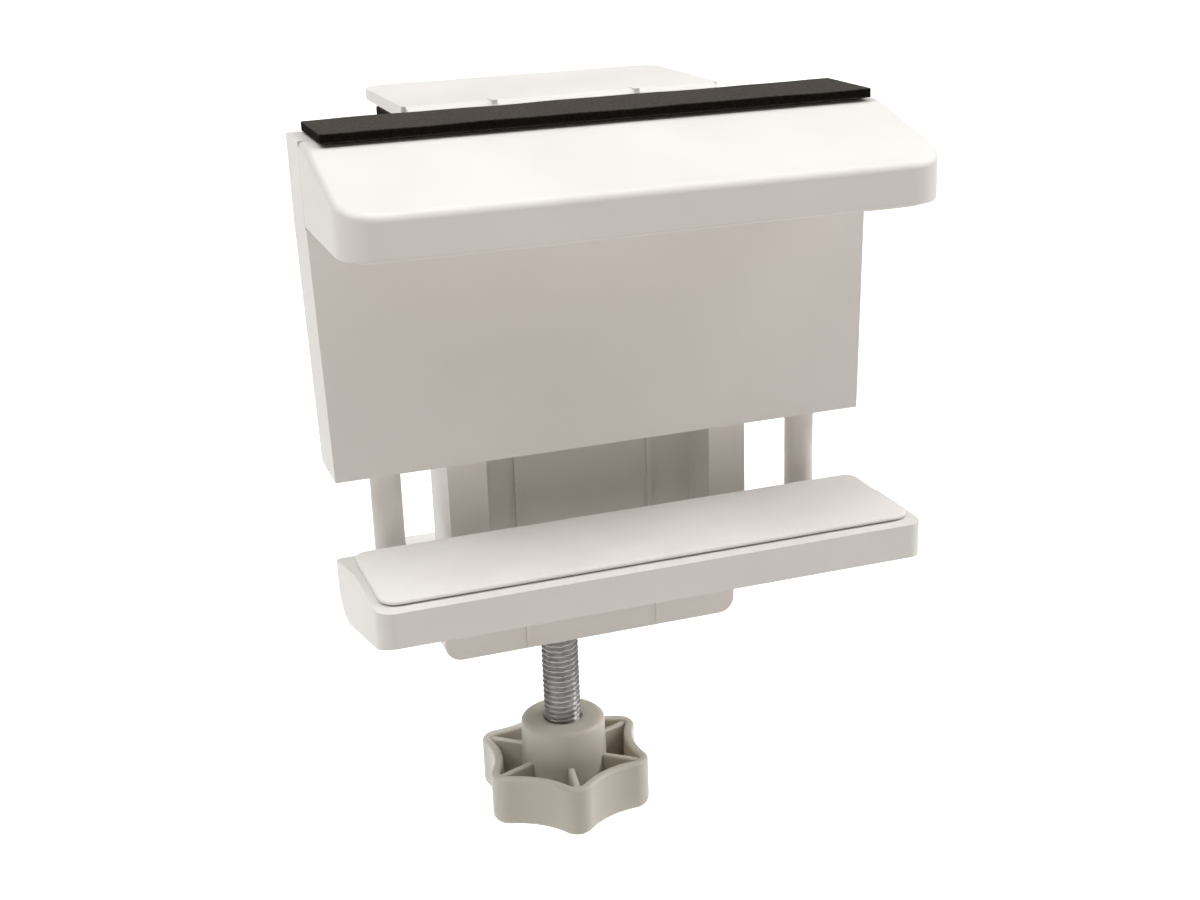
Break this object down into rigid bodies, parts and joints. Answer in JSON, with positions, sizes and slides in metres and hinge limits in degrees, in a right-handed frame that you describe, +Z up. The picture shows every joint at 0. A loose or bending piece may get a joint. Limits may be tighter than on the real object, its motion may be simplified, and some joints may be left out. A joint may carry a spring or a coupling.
{
  "type": "desk clamp holder",
  "caption": "Desk-edge clamp holder: fixed upper jaw, padded lower jaw sliding on rods, and a star-knob screw clamp behind.",
  "frame": {"origin": "centre of the underside of the desk pad, which rests on the desk top", "axes": "+X along the desk edge, to the right as seen from the front; +Y into the desk, away from the jaws; +Z up"},
  "size_m": [0.13, 0.108, 0.1942],
  "materials": {
    "white_plastic": "fine satin moulding",
    "ivory_plastic": "satin nylon moulding",
    "pale_pad": "matt soft pad",
    "black_foam": "closed-cell foam tape",
    "dark_rubber": "matt rubber",
    "zinc_steel": "zinc plated"
  },
  "bodies": {
    "frame": {"clamp_frame": "white_plastic", "desk_pad": "black_foam", "screw_nut": "zinc_steel", "nut_plate": "ivory_plastic", "nut_plate_screw_left": "zinc_steel", "nut_plate_screw_right": "zinc_steel", "body_shell": "white_plastic", "rear_cover_left": "white_plastic", "rear_cover_right": "white_plastic", "guide_bush_left": "ivory_plastic", "guide_bush_right": "ivory_plastic", "body_screw_lower_left": "zinc_steel", "body_screw_upper_left": "zinc_steel", "body_screw_lower_right": "zinc_steel", "body_screw_upper_right": "zinc_steel", "cover_screw_lower_left": "zinc_steel", "cover_screw_upper_left": "zinc_steel", "cover_screw_lower_right": "zinc_steel", "cover_screw_upper_right": "zinc_steel", "jaw_screw_left": "zinc_steel", "jaw_screw_right": "zinc_steel", "upper_jaw": "white_plastic", "upper_jaw_pad": "pale_pad", "top_foam_strip": "black_foam"},
    "jaw_carriage": {"lower_jaw": "white_plastic", "lower_jaw_pad": "pale_pad", "guide_rod_left": "white_plastic", "guide_rod_right": "white_plastic", "rod_stop_left": "ivory_plastic", "rod_stop_right": "ivory_plastic", "rod_stop_screw_left": "zinc_steel", "rod_stop_screw_right": "zinc_steel", "rod_foot_screw_left": "zinc_steel", "rod_foot_screw_right": "zinc_steel"},
    "foot": {"pressure_foot": "ivory_plastic", "foot_pad": "dark_rubber"},
    "screw": {"clamp_screw": "zinc_steel", "star_knob": "ivory_plastic"}
  },
  "joints": [
    {"name": "jaw_slide", "type": "slide", "parent": "frame", "child": "jaw_carriage", "axis": [0, 0, 1], "range_m": [-0.022, 0.019]},
    {"name": "foot_lift", "type": "slide", "parent": "frame", "child": "foot", "axis": [0, 0, 1], "range_m": [-0.0555, 0.0355]},
    {"name": "knob_turn", "type": "hinge", "parent": "foot", "child": "screw", "pos_m": [0, 0.007, -0.0578], "axis": [0, 0, 1], "range_deg": [-13321, 8521]}
  ],
  "couplings": [
    {"joint": "knob_turn", "follows": "foot_lift", "rad_per_m": 4188.8}
  ]
}
